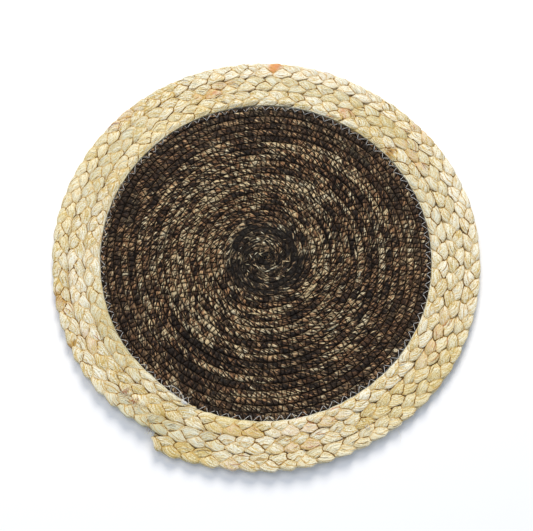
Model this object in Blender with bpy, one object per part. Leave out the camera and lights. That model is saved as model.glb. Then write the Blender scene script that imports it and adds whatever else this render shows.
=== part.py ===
# Round placemat: a dark seagrass cord coiled into a disc, inside a rim of one pale three-strand plait wound
# three times round it. Metres, +Z up. The origin is on the underside at the middle of the disc, and bearings
# are degrees from +X, turning towards +Y.
import math

import bmesh
import bpy

# Coiled disc
CORE_RADIUS = 0.1468
CORE_THICKNESS = 0.0062
CORD_PITCH = 0.0060  # from one turn of the cord to the next
CORD_GROOVE = 0.0015  # depth of the groove between two turns
CORE_COLUMNS = 64  # steps round the disc
ROWS_PER_TURN = 2  # a groove row and a crown row

# Plaited rim
PLAIT_TURNS = 3
PLAIT_WIDTH = 0.0143
PLAIT_THICKNESS = 0.0088
LOBE_SPACING = 0.0161  # from one lobe to the next along one side of the plait
LOBE_RECESS = 0.0009  # how far the edge draws in between two lobes
LOBE_DIP = 0.22  # how far the crown sinks between two lobes, as a share of the thickness
CHEVRON_REACH = 0.0072  # how far the plait's edges run ahead of its middle line
END_THICKNESS = 0.55  # thickness at the two ends, as a share of the full thickness
SEAM_GAP = 0.0004  # kept between neighbouring turns, and between the rim and the disc

# Where the plait starts and ends, and steps from one turn to the next
SEAM_BEARING = 242.0
STEP_HALF_ANGLE = 28.0  # the step is spread this far to each side of the seam
TUCK_ANGLE = 9.0  # the disc's edge smooths the step over this much
TIP_ANGLE = 5.0  # the outer end widens to the full width over this much
TIP_SHARE = 0.2  # its width at the very end, as a share of the full width
TAIL_PAST = 4.5  # the inner end runs this far past the seam
TAIL_ANGLE = 9.0  # and closes down to the disc's edge over this much

# The hand-made outline: how far the outermost edge stands proud of a true circle
OUTLINE = [
    {"bearing": 12, "proud": 0.0010},
    {"bearing": 58, "proud": -0.0022},
    {"bearing": 90, "proud": -0.0008},
    {"bearing": 126, "proud": 0.0010},
    {"bearing": 158, "proud": 0.0006},
    {"bearing": 192, "proud": -0.0012},
    {"bearing": 262, "proud": 0.0006},
    {"bearing": 300, "proud": -0.0010},
    {"bearing": 330, "proud": 0.0006},
]
CORE_SWAY = 0.35  # share of that unevenness which reaches the disc's edge

# Where the rim lifts a little off the table
LIFTS = [
    {"bearing": 216, "height": 0.0034, "spread": 34},
    {"bearing": 312, "height": 0.0028, "spread": 36},
]
LIFT_START = 0.150  # radius at which the lift begins

# The plait's section, round from its underside: across is a share of the half width, towards the outside,
# and ahead is a share of the chevron's reach
PLAIT_SECTION = [
    {"name": "under_inner", "across": -0.60, "height": 0.00, "ahead": 0.0},
    {"name": "under_outer", "across": 0.60, "height": 0.00, "ahead": 0.0},
    {"name": "side_outer", "across": 1.00, "height": 0.46, "ahead": 1.0},
    {"name": "crown_outer", "across": 0.60, "height": 1.00, "ahead": 0.6},
    {"name": "middle", "across": 0.00, "height": 0.82, "ahead": 0.0},
    {"name": "crown_inner", "across": -0.60, "height": 1.00, "ahead": 0.6},
    {"name": "side_inner", "across": -1.00, "height": 0.46, "ahead": 1.0},
]

DYED_SEAGRASS = {"colour": (0.045, 0.031, 0.022, 1.0), "roughness": 0.62}
DRIED_HUSK = {"colour": (0.72, 0.60, 0.36, 1.0), "roughness": 0.55}

TURN = 360.0
PLAIT_END = TURN * PLAIT_TURNS + TAIL_PAST  # degrees from the outer end of the plait to its inner end
OUTER_EDGE = CORE_RADIUS + PLAIT_TURNS * PLAIT_WIDTH
WELD = 0.00001
COIL_WELD = 0.0004  # merges the thin faces where the cord runs out at the disc's edge


def smooth(share):
    share = min(max(share, 0.0), 1.0)
    return share * share * (3 - 2 * share)


def from_bearing(bearing, other):
    """Degrees from one bearing to another, between -180 and 180."""
    return (other - bearing + 180.0) % TURN - 180.0


def outline_sway(bearing):
    """The outline's unevenness, eased from one row of the table to the next."""
    rows = sorted(OUTLINE, key=lambda row: (bearing - row["bearing"]) % TURN)
    behind, ahead = rows[0], rows[-1]
    span = (ahead["bearing"] - behind["bearing"]) % TURN
    share = smooth(((bearing - behind["bearing"]) % TURN) / span)
    return behind["proud"] + (ahead["proud"] - behind["proud"]) * share


def lift(bearing, radius):
    """Height of the underside above the table."""
    reach = smooth((radius - LIFT_START) / (OUTER_EDGE - LIFT_START))
    rise = 0.0
    for row in LIFTS:
        near = 1.0 - abs(from_bearing(row["bearing"], bearing)) / row["spread"]
        rise += row["height"] * smooth(near)
    return rise * reach


def core_edge(bearing):
    """Radius of the disc's edge, which bulges and dips where the plait's inner end is tucked in."""
    past = from_bearing(SEAM_BEARING, bearing)
    step = smooth((past + STEP_HALF_ANGLE) / (2 * STEP_HALF_ANGLE))
    offset = PLAIT_WIDTH * ((1 - step) if past > 0 else -step)
    tucked = offset * (1 - math.exp(-((past / TUCK_ANGLE) ** 2)))
    return CORE_RADIUS + tucked + CORE_SWAY * outline_sway(bearing)


def plait_line(turned):
    """Radius of the line along the plait's outer side, after so many degrees from its outer end.

    It keeps to a circle and steps in by one width each time it passes the seam. Past the plait's inner end
    it is the disc's edge."""
    steps = 0.0
    for passing in range(PLAIT_TURNS + 1):
        before_seam = TURN * passing - STEP_HALF_ANGLE
        steps += smooth((turned - before_seam) / (2 * STEP_HALF_ANGLE))
    inward = min(max(turned / (TURN * PLAIT_TURNS), 0.0), 1.0)
    sway = outline_sway(SEAM_BEARING + turned) * (1 - (1 - CORE_SWAY) * inward)
    line = OUTER_EDGE + (1 - steps) * PLAIT_WIDTH + sway
    disc = core_edge(SEAM_BEARING + turned)
    closed = smooth((turned - TURN * PLAIT_TURNS) / TAIL_ANGLE)
    return line + (disc - line) * closed


def plait_edges(turned):
    """Inner and outer radius of the plait after so many degrees."""
    inner = plait_line(turned + TURN) + SEAM_GAP / 2
    outer = plait_line(turned) - SEAM_GAP / 2
    widened = TIP_SHARE + (1 - TIP_SHARE) * smooth(turned / TIP_ANGLE)
    return inner, inner + (outer - inner) * widened


def polar(bearing, radius, height):
    angle = math.radians(bearing)
    return (
        radius * math.cos(angle),
        radius * math.sin(angle),
        height + lift(bearing, radius),
    )


def grid_place(vertex, columns, rows):
    """Column and row of a vertex of a fresh grid of size 1."""
    column = round((vertex.co.x + 1) / 2 * columns)
    row = round((vertex.co.y + 1) / 2 * rows)
    return column, row


def material(name, finish):
    made = bpy.data.materials.new(name)
    made.use_nodes = True
    shader = made.node_tree.nodes["Principled BSDF"]
    shader.inputs["Base Color"].default_value = finish["colour"]
    shader.inputs["Roughness"].default_value = finish["roughness"]
    shader.inputs["Metallic"].default_value = 0.0
    return made


def add_object(name, bm, made_material, collection):
    bmesh.ops.recalc_face_normals(bm, faces=bm.faces[:])
    mesh = bpy.data.meshes.new(name)
    bm.to_mesh(mesh)
    bm.free()
    mesh.materials.append(made_material)
    obj = bpy.data.objects.new(name, mesh)
    collection.objects.link(obj)
    return obj


def coil_point(column, row):
    """A point of the disc's top: the rows follow the cord, moving in by one turn for each time round."""
    bearing = TURN * column / CORE_COLUMNS
    turns = row / ROWS_PER_TURN - column / CORE_COLUMNS
    radius = max(turns * CORD_PITCH, 0.0)
    edge = core_edge(bearing) - SEAM_GAP / 2
    on_crown = row % ROWS_PER_TURN == 1 and radius > 0.0
    room = min(max((edge - radius) / (CORD_PITCH / 2), 0.0), 1.0)
    raised = CORD_GROOVE * room if on_crown else 0.0
    height = CORE_THICKNESS - CORD_GROOVE + raised
    return polar(bearing, min(radius, edge), height)


def build_core(collection):
    """The disc: the coiled cord's ridges on top, an upright edge and a flat underside."""
    turns = math.ceil(max(core_edge(b) for b in range(360)) / CORD_PITCH) + 2
    rows = turns * ROWS_PER_TURN
    bm = bmesh.new()
    bmesh.ops.create_grid(bm, x_segments=CORE_COLUMNS, y_segments=rows, size=1)
    for vertex in bm.verts:
        vertex.co = coil_point(*grid_place(vertex, CORE_COLUMNS, rows))
    bmesh.ops.remove_doubles(bm, verts=bm.verts[:], dist=COIL_WELD)
    rim = [edge for edge in bm.edges if edge.is_boundary]
    wall = bmesh.ops.extrude_edge_only(bm, edges=rim)["geom"]
    foot = [item for item in wall if isinstance(item, bmesh.types.BMVert)]
    for vertex in foot:
        vertex.co.z = 0.0
    hem = [
        item
        for item in wall
        if isinstance(item, bmesh.types.BMEdge) and item.is_boundary
    ]
    bmesh.ops.contextual_create(bm, geom=hem)
    return add_object(
        "core_coil", bm, material("dyed_seagrass", DYED_SEAGRASS), collection
    )


def plait_stations():
    """Degrees from the outer end at which the plait has a section, two for each lobe."""
    stations = [0.0]
    while stations[-1] < PLAIT_END:
        middle = sum(plait_edges(stations[-1])) / 2
        stations.append(stations[-1] + math.degrees(LOBE_SPACING / 2 / middle))
    stretch = PLAIT_END / stations[-1]
    return [turned * stretch for turned in stations]


def plait_point(station, turned, corner):
    """A point of the plait: its outer lobes swell at even stations and its inner ones at odd stations."""
    to_ends = smooth(min(turned, PLAIT_END - turned) / TIP_ANGLE)
    ahead = CHEVRON_REACH * corner["ahead"] / plait_line(turned) * to_ends
    moved = turned + math.degrees(ahead)
    inner, outer = plait_edges(moved)
    half = (outer - inner) / 2
    side = corner["across"]
    swells = side == 0 or (station % 2 == 0) == (side > 0)
    share = corner["height"] * (1 if swells else 1 - LOBE_DIP)
    drawn_in = 0.0 if swells or share == 0 else min(LOBE_RECESS, half * 0.4)
    reach = half * side - math.copysign(drawn_in, side)
    thickness = PLAIT_THICKNESS * (END_THICKNESS + (1 - END_THICKNESS) * to_ends)
    return polar(SEAM_BEARING + moved, (inner + outer) / 2 + reach, thickness * share)


def build_rim(collection):
    """The rim: one plait, wound inwards from its outer end, closed at both ends."""
    stations = plait_stations()
    columns = len(stations) - 1
    rows = len(PLAIT_SECTION)
    bm = bmesh.new()
    bmesh.ops.create_grid(bm, x_segments=columns, y_segments=rows, size=1)
    for vertex in bm.verts:
        column, row = grid_place(vertex, columns, rows)
        corner = PLAIT_SECTION[row % rows]
        vertex.co = plait_point(column, stations[column], corner)
    bmesh.ops.remove_doubles(bm, verts=bm.verts[:], dist=WELD)
    open_edges = [edge for edge in bm.edges if edge.is_boundary]
    bmesh.ops.holes_fill(bm, edges=open_edges, sides=rows)
    return add_object("rim_plait", bm, material("dried_husk", DRIED_HUSK), collection)


def build_placemat():
    for obj in list(bpy.data.objects):
        bpy.data.objects.remove(obj)
    placemat = bpy.data.collections.new("placemat")
    bpy.context.scene.collection.children.link(placemat)
    build_core(placemat)
    build_rim(placemat)


build_placemat()
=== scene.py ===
import math
from functools import partial

import bmesh
import bpy
import numpy as np
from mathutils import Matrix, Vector


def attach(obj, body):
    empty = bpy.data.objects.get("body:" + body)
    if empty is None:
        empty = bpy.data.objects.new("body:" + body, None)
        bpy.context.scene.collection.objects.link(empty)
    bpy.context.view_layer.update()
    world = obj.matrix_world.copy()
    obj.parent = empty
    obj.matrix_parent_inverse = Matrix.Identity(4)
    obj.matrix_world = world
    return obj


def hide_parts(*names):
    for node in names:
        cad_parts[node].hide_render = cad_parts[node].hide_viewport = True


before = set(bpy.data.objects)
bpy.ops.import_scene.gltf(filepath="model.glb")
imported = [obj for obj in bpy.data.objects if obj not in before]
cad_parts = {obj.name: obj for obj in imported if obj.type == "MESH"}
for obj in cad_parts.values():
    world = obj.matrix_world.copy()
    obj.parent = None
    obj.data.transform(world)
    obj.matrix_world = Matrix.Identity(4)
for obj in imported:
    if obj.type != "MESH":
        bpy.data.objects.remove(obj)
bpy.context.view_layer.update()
print("frame loaded:", ", ".join(sorted(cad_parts)))

# Bearings are degrees from +X towards +Y, seen from above, and lengths are metres
mm = 0.001
turn = 360.0

# Layout of the mat, close to that of the solids
mat = {
    "coreRadius": 146.8 * mm,
    "coreThickness": 6.2 * mm,
    "seamBearing": 239.0,  # where the rim's plait begins and ends
    "stepHalfAngle": 28.0,  # a turn steps in by one width over this much to each side
    "tuckAngle": 9.0,
    "coreSway": 0.35,  # share of the outline's unevenness that reaches the disc
    "stepOut": 0.3,  # shares of the plait's width by which the disc's edge is out just past the seam
    "stepIn": 0.6,  # and in just before it
}
# How many millimetres the hand-made edge stands proud of a circle, by bearing
outline = {12: 1.0, 58: -2.2, 90: -0.8, 126: 1.0, 158: 0.6, 192: -1.2, 262: 0.6, 300: -1.0, 330: 0.6}
# Where the rim stands a little off the table: the bearing, how high, and the spread in degrees
lifts = [(226, 2.0 * mm, 20), (237, 2.6 * mm, 11), (276, 1.8 * mm, 32)]
plait = {
    "turns": 3,
    "width": 14.3 * mm,
    "thickness": 8.8 * mm,
    "lobeSpacing": 16.1 * mm,
    "tipAngle": 3.5,
    "tipShare": 0.45,
    "tailPast": 7.5,
    "tailAngle": 12.0,
    "endThickness": 0.55,
    "liftStart": 150 * mm,
}
plaitEnd = turn * plait["turns"] + plait["tailPast"]
outerEdge = mat["coreRadius"] + plait["turns"] * plait["width"]


def ease(share):
    share = np.clip(share, 0.0, 1.0)
    return share * share * (3 - 2 * share)


def angleFrom(bearing, other):
    return (other - bearing + 180.0) % turn - 180.0


def outlineSway(bearing):
    start = next(iter(outline))
    marks = np.array([*outline, start + turn]) - start
    proud = np.array([*outline.values(), outline[start]]) * mm
    at = (bearing - start) % turn
    k = np.clip(np.searchsorted(marks, at, side="right") - 1, 0, len(outline) - 1)
    share = ease((at - marks[k]) / (marks[k + 1] - marks[k]))
    return proud[k] + (proud[k + 1] - proud[k]) * share


def liftAt(bearing, radius):
    reach = ease((radius - plait["liftStart"]) / (outerEdge - plait["liftStart"]))
    rise = 0.0
    for middle, height, spread in lifts:
        rise = rise + height * ease(1.0 - np.abs(angleFrom(middle, bearing)) / spread)
    return rise * reach


def coreEdge(bearing):
    past = angleFrom(mat["seamBearing"], bearing)
    step = ease((past + mat["stepHalfAngle"]) / (2 * mat["stepHalfAngle"]))
    offset = plait["width"] * np.where(past > 0, mat["stepOut"] * (1 - step), -mat["stepIn"] * step)
    tucked = offset * (1 - np.exp(-((past / mat["tuckAngle"]) ** 2)))
    return mat["coreRadius"] + tucked + mat["coreSway"] * outlineSway(bearing)


def plaitLine(turned):
    # radius of the line along the plait's outer side, after so many degrees from its outer end
    steps = 0.0
    for passing in range(plait["turns"] + 1):
        beforeSeam = turn * passing - mat["stepHalfAngle"]
        steps = steps + ease((turned - beforeSeam) / (2 * mat["stepHalfAngle"]))
    inward = np.clip(turned / (turn * plait["turns"]), 0.0, 1.0)
    bearing = mat["seamBearing"] + turned
    sway = outlineSway(bearing) * (1 - (1 - mat["coreSway"]) * inward)
    line = outerEdge + (1 - steps) * plait["width"] + sway
    closed = ease((turned - turn * plait["turns"]) / plait["tailAngle"])
    return line + (coreEdge(bearing) - line) * closed


def plaitEdges(turned):
    inner = plaitLine(turned + turn)
    outer = plaitLine(turned)
    share = plait["tipShare"]
    widened = share + (1 - share) * ease(turned / plait["tipAngle"])
    return inner, inner + (outer - inner) * widened


def polar(bearing, radius, height):
    angle = np.radians(bearing)
    lifted = height + liftAt(bearing, radius)
    return np.stack([radius * np.cos(angle), radius * np.sin(angle), lifted], axis=-1)


def heldNoise(position, soft, seed):
    # one random value from -1 to 1 for each whole step, eased to the next over its last part
    cell = np.floor(position).astype(int)
    values = np.random.default_rng(seed).uniform(-1, 1, 4096)
    share = ease((position - cell - (1 - soft)) / soft)
    here, ahead = values[cell % 4096], values[(cell + 1) % 4096]
    return here + (ahead - here) * share


def unit(vectors):
    return vectors / np.linalg.norm(vectors, axis=-1, keepdims=True)


def frames(path):
    # the direction of a path at each point, with its sideways and upward directions
    ahead = unit(np.gradient(path, axis=0))
    side = unit(np.cross(ahead, (0.0, 0.0, 1.0)))
    return ahead, side, np.cross(side, ahead)


def summed(steps):
    return np.concatenate([[0.0], np.cumsum(steps)])


def sectionAngles(crown, under):
    # round a cord's section, with its own number of steps over the top and underneath
    over = np.linspace(0, math.pi, crown + 1)
    return np.concatenate([over, np.linspace(math.pi, 2 * math.pi, under + 1)[1:]])


def squared(wave, power):
    # makes a sine or cosine fuller
    return np.sign(wave) * np.abs(wave) ** power


def newMesh(name, bm):
    mesh = bpy.data.meshes.new(name)
    bm.to_mesh(mesh)
    bm.free()
    return mesh


# Wraps a grid round a path: points has a row of places for each step along it, the last place of a row
# being the first again, and layers has a value for each of them
def wrapGrid(name, points, length, girth, layers, slant=0.0):
    columns, rows = points.shape[0] - 1, points.shape[1] - 1
    bm = bmesh.new()
    bmesh.ops.create_grid(bm, x_segments=columns, y_segments=rows, size=1)
    mesh = newMesh(name, bm)
    flat = np.empty(len(mesh.vertices) * 3, dtype=np.float32)
    mesh.vertices.foreach_get("co", flat)
    flat = flat.reshape(-1, 3)
    column = np.rint((flat[:, 0] + 1) / 2 * columns).astype(int)
    row = np.rint((flat[:, 1] + 1) / 2 * rows).astype(int)
    mesh.vertices.foreach_set("co", points[column, row].astype(np.float32).ravel())
    for label, values in layers.items():
        layer = mesh.attributes.new(label, "FLOAT", "POINT")
        layer.data.foreach_set("value", values[column, row].astype(np.float32))
    corners = np.empty(len(mesh.loops), dtype=np.int32)
    mesh.loops.foreach_get("vertex_index", corners)
    along = length * column[corners] / columns
    across = girth * row[corners] / rows + slant * along
    uv = mesh.uv_layers.new(name="UVMap")
    uv.data.foreach_set("uv", np.stack([along, across], axis=-1).astype(np.float32).ravel())
    bm = bmesh.new()
    bm.from_mesh(mesh)
    bmesh.ops.remove_doubles(bm, verts=bm.verts[:], dist=0.001 * mm)
    ends = [edge for edge in bm.edges if edge.is_boundary]
    if ends:
        bmesh.ops.holes_fill(bm, edges=ends, sides=0)
    bmesh.ops.recalc_face_normals(bm, faces=bm.faces[:])
    for face in bm.faces:
        face.smooth = True
    bm.to_mesh(mesh)
    bm.free()
    return mesh


def newObject(name, data):
    made = bpy.data.objects.new(name, data)
    bpy.context.scene.collection.objects.link(made)
    return made


def addPiece(mesh, material, slot, *nodes):
    mesh.materials.clear()
    mesh.materials.append(material)
    piece = newObject(mesh.name, mesh)
    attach(piece, "root")
    if nodes:
        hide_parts(*nodes)


def linear(hexColour):
    parts = [int(hexColour[k : k + 2], 16) / 255 for k in (1, 3, 5)]
    parts = [p / 12.92 if p <= 0.04045 else ((p + 0.055) / 1.055) ** 2.4 for p in parts]
    return (*parts, 1.0)


def setInputs(node, inputs):
    # an input is a value or another node's socket, by its name or its place
    for name, value in inputs.items() if isinstance(inputs, dict) else enumerate(inputs):
        if isinstance(value, bpy.types.NodeSocket):
            node.id_data.links.new(value, node.inputs[name])
        else:
            node.inputs[name].default_value = value


def addNode(tree, kind, settings, inputs, output=0):
    # adds a node with its settings and links, and gives the socket asked for
    node = tree.nodes.new("ShaderNode" + kind)
    for name, value in settings.items():
        if name == "stops":
            stops = node.color_ramp.elements
            while len(stops) < len(value):
                stops.new(0.5)
            for stop, (place, colour) in zip(stops, value):
                stop.position, stop.color = place, linear(colour)
        else:
            setattr(node, name, value)
    setInputs(node, inputs)
    return node.outputs[output]


def newMaterial(name):
    material = bpy.data.materials.new(name)
    material.use_nodes = True
    tree = material.node_tree
    return material, partial(addNode, tree), tree.nodes["Principled BSDF"]


# Settings which many nodes share
times, plus, timesPlus = {"operation": "MULTIPLY"}, {"operation": "ADD"}, {"operation": "MULTIPLY_ADD"}
larger, clamped, colours = {"operation": "MAXIMUM"}, {"use_clamp": True}, {"data_type": "RGBA"}
smooth, flatNoise = {"interpolation_type": "SMOOTHSTEP"}, {"noise_dimensions": "2D"}
flatCells = {"voronoi_dimensions": "2D"}
flatEdges = {**flatCells, "feature": "DISTANCE_TO_EDGE"}
spanEnds = ("Value", "From Min", "From Max", "To Min", "To Max")

# Camera, floor and light
view = {
    "lens": 81.05,  # millimetres on a 36 mm sensor
    "tilt": 17.4,  # from straight down
    "distance": 1.069,
    "target": (0.9 * mm, -6.4 * mm, 0.0),
}


def makeCamera():
    data = bpy.data.cameras.new("camera")
    data.lens, data.sensor_width = view["lens"], 36.0
    data.clip_start, data.clip_end = 0.05, 20.0
    camera = newObject("camera", data)
    tilt = math.radians(view["tilt"])
    back = Vector((0.0, -math.sin(tilt), math.cos(tilt)))
    camera.location = Vector(view["target"]) + view["distance"] * back
    camera.rotation_euler = (tilt, 0.0, 0.0)
    bpy.context.scene.camera = camera


studio = {
    "floorSize": 6.0,
    "floorDrop": 0.3 * mm,
    "floor": "#fffeff",
    "sky": "#dcebff",
    "skyStrength": 0.53,
}
lamps = [
    {"name": "key", "at": (0.18, 1.99, 1.75), "size": 1.3, "power": 57.5, "tint": "#fff8eb"},
    {"name": "fill", "at": (-0.50, 0.30, 1.50), "size": 0.9, "power": 6.0, "tint": "#fffcf8"},
]


def makeStudio():
    bm = bmesh.new()
    bmesh.ops.create_grid(bm, x_segments=1, y_segments=1, size=studio["floorSize"] / 2)
    bmesh.ops.translate(bm, verts=bm.verts[:], vec=(0, 0, -studio["floorDrop"]))
    mesh = newMesh("floor", bm)
    floor = newObject("floor", mesh)
    material, _, shader = newMaterial("matte_paper")
    # matte paper: no gloss, so only the mat's shadow shows on it
    setInputs(shader, {"Base Color": linear(studio["floor"]), "Roughness": 0.9})
    mesh.materials.append(material)
    world = bpy.data.worlds.new("studio")
    world.use_nodes = True
    background = world.node_tree.nodes["Background"]
    setInputs(background, {"Color": linear(studio["sky"]), "Strength": studio["skyStrength"]})
    bpy.context.scene.world = world
    for lamp in lamps:
        data = bpy.data.lights.new(lamp["name"], "AREA")
        data.shape, data.size, data.energy = "DISK", lamp["size"], lamp["power"]
        data.color = linear(lamp["tint"])[:3]
        light = newObject(lamp["name"], data)
        light.location = lamp["at"]
        light.rotation_euler = (-Vector(lamp["at"])).to_track_quat("-Z", "Y").to_euler()
    bpy.context.scene.view_settings.view_transform = "Standard"


makeCamera()
makeStudio()
print("camera and studio made")

# The rim: three strands of folded husk
strand = {
    "count": 3,
    "columns": 2700,
    "crownRows": 18,
    "underRows": 8,
    "swing": 4.2 * mm,  # how far the middle of a strand swings to each side
    "square": 0.14,  # lets a strand run along the border before it turns back
    "climb": 1.65 * mm,  # over and under
    "width": 11.0 * mm,
    "thickness": 4.5 * mm,
    "roll": 9.0,  # degrees that a strand banks where it crosses
    "shoulder": 1.0 * mm,  # how the strands are pressed upright at the plait's borders
    "bulge": 1.25 * mm,  # how far a lobe presses into the neighbouring turn
    "overlap": 0.5 * mm,
    "pressed": 6.5 * mm,  # the sewing pressed the plait flat, down to this below its top
    "flatness": 0.58,
    "sewnFrom": 3.0 * mm,  # inward of its middle, the last turn is sewn down on the disc
    "sewnOver": 4.0 * mm,
    "husks": 6,  # overlapping husks round a strand
    "step": 0.26 * mm,  # how far one husk's edge stands above the next
    "creases": 0.14 * mm,
    "twist": 0.085,  # metres along the strand for one turn of its husks
    "lobeUneven": 0.21,
    "swingUneven": 0.12,
    "climbUneven": 0.2,
    "slip": 1.7 * mm,  # how far a lobe is out of step with an even plait, changing over each run
    "slipRun": 26 * mm,
    "scallop": {1: 0.47 * mm, -1: 0.07 * mm},  # height of the teeth, on the outer and the inner free edge
    "smoothest": 75,  # the bearing where the free edges are smoothest, opposite the largest teeth
    "slant": 0.16,  # of the fibres across the strand
    "section": (0.75, 0.6),  # under 1 the section is fuller than an ellipse, across and upwards
    "taper": 9 * mm,  # over how long the ends thin out
    "close": 2 * mm,  # and round off
    "huskEdge": 0.15,  # share of a husk's width over which it steps down
}
# Marked husks: the turn of the plait from outside, the bearing, the spread in degrees, how strong, and
# 1 or -1 where only the strands on the outer or the inner side of the turn have it
marks = {
    "blush": [  # reddish
        (1, 40, 4, 0.5, 1), (1, 72, 2, 0.3, 1), (1, 134, 5, 0.5, 1), (1, 193, 3, 0.6, 1), (1, 262, 3, 0.4, 1),
        (2, 35, 6, 0.6, -1), (2, 108, 4, 1, -1), (2, 103, 3, 0.7, 1), (2, 207, 4, 0.5, 1),
        (2, 280, 6, 0.6, 1), (2, 332, 9, 0.6, -1), (3, 62, 3, 0.9, 1), (3, 262, 6, 0.5, 1),
        (3, 285, 10, 0.5, 1),
    ],
    "rust": [(1, 87.5, 1.6, 1, 1)],  # one orange flake
    "sunny": [  # yellower
        (1, 305, 30, 1, 0), (1, 250, 8, 1, 0), (1, 160, 18, 1, 0), (2, 320, 22, 1, 0), (3, 258, 9, 1, 0),
        (3, 130, 20, 1, 0),
    ],
    "pale": [  # bleached
        (1, 80, 24, 1.2, 0), (1, 20, 7, 1, 0), (1, 158, 6, 1, 0), (1, 232, 8, 1.4, 0), (1, 296, 11, 1, 0),
        (2, 187, 8, 1, 0), (2, 249, 3, 1, 0), (2, 257, 3, 1, 0), (3, 16, 15, 1, 0), (3, 247, 4, 1, 0),
        (3, 280, 7, 1, 0), (3, 184, 6, 1, 0),
    ],
    "dull": [
        (1, 135, 14, 0.7, 0), (1, 188, 7, 0.8, 0), (1, 248, 7, 1.9, 0), (1, 331, 12, 1, 0),
        (2, 45, 14, 1.2, 0), (2, 112, 7, 1, 0), (2, 217, 8, 0.8, 0), (2, 238, 14, 1, 0),
        (2, 278, 7, 0.7, 0), (2, 308, 12, 1, 0),
        (3, 55, 9, 1, 0), (3, 187, 6, 0.8, 0), (3, 211, 14, 0.9, 0), (3, 263, 7, 1.7, 0),
    ],
    "brown": [(1, 192, 1.5, 1, 1), (1, 206, 1.1, 1, 1), (3, 41, 1.2, 1, -1)],  # weathered
    "ash": [  # greyer
        (2, 60, 42, 1, 0), (2, 145, 18, 1, 0), (2, 247, 12, 1, 0), (1, 232, 10, 1.6, 0), (3, 20, 16, 1, 0),
        (3, 208, 18, 1.2, 0),
    ],
}
turnedTable = np.linspace(0.0, plaitEnd, 12000)
innerTable, outerTable = plaitEdges(turnedTable)
middleTable = (innerTable + outerTable) / 2
lengthTable = summed(np.radians(np.diff(turnedTable)) * (middleTable[1:] + middleTable[:-1]) / 2)
plaitLength = lengthTable[-1]
period = 3 * plait["lobeSpacing"]


def turnedAt(s):
    return np.interp(s, lengthTable, turnedTable)


def lengthAt(turned):
    return np.interp(turned, turnedTable, lengthTable)


def markWeight(kind, turned, phase=None):
    weight = 0.0
    for passing, bearing, spread, share, side in marks[kind]:
        centre = (bearing - mat["seamBearing"]) % turn + turn * (passing - 1)
        near = ease(1.4 * (1 - np.abs(turned - centre) / (1.5 * spread)))
        if side and phase is not None:
            near = near * ease(0.5 + 1.5 * side * np.sin(phase))
        weight = weight + near * share
    return np.clip(weight, 0, 3)


def strandPhase(s, number=0):
    # where a strand is in its swing from side to side: the lobes' lengths slip, the same for all three
    slip = strand["slip"] * heldNoise(s / strand["slipRun"], 1.0, 5)
    return 2 * math.pi * ((s + slip) / period + number / strand["count"])


# The middle line of a strand and its size, in the plait's own flat space: s along, across outward
def strandLine(number, s):
    toEnds = ease(np.minimum(s, plaitLength - s) / strand["taper"])
    full = plait["endThickness"] + (1 - plait["endThickness"]) * toEnds
    phase = strandPhase(s, number)
    lobe = phase / math.pi + 0.25  # a strand's lobes change over where it is underneath
    uneven = strand["lobeUneven"]
    across = strand["swing"] * (np.sin(phase) + strand["square"] * np.sin(3 * phase))
    across = across * (1 + strand["swingUneven"] * heldNoise(lobe, 0.4, 11 + number))
    climb = np.sin(2 * phase) + 0.14 * np.sin(4 * phase)  # quick up through the middle, slow down
    rise = strand["climb"] * climb * (1 + strand["climbUneven"] * heldNoise(lobe, 0.4, 15 + number))
    border = np.sin(phase) ** 6
    closing = ease(np.minimum(s, plaitLength - s) / strand["close"]) ** 0.4
    width = strand["width"] * (1 - 0.08 * border) * (0.8 + 0.2 * toEnds) * closing
    deep = strand["thickness"] * (1 + 0.10 * border) * closing
    return {
        "phase": phase,
        "lobe": lobe,
        "full": full,
        "closing": closing,
        "across": across,
        "height": plait["thickness"] / 2 + rise,
        "width": width * (1 + uneven * heldNoise(lobe, 0.4, 21 + number)),
        "deep": deep * (1 + 0.6 * uneven * heldNoise(lobe, 0.4, 31 + number)),
    }


def lobeBulge(s, side, skew=0.0):
    # from -1 between two lobes to 1 in the middle of one, along one border of the plait
    angle = 3 * strandPhase(s) + 0.35 * side
    return -side * np.cos(angle + skew * np.cos(angle))


def hasNeighbour(turned, side):
    return (turned - side * turn > 0) & (turned - side * turn < plaitEnd)


def borderLimit(turned, s, side):
    # how far the strands reach to one side: lobes of one turn sit in the hollows of the next
    neighbour = turned - side * turn
    beyond = lobeBulge(lengthAt(neighbour), -side)
    pressed = strand["bulge"] * (lobeBulge(s, side) - beyond) / 2 + strand["overlap"]
    # the free edges are smooth at the top and toothed like scales at the bottom
    rough = 0.55 - 2.1 * np.cos(np.radians(mat["seamBearing"] + turned - strand["smoothest"]))
    scallop = strand["scallop"][side] * rough * lobeBulge(s, side, 0.6)
    return plait["width"] / 2 + np.where(hasNeighbour(turned, side), pressed, scallop)


def pressFlat(height):
    # levels the tops of the lobes and keeps the order of what lies over what
    below = plait["thickness"] - height
    share = 1 - strand["flatness"] * (1 - ease(below / strand["pressed"]))
    return plait["thickness"] - below * np.where(below > 0, share, 1 - strand["flatness"])


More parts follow.
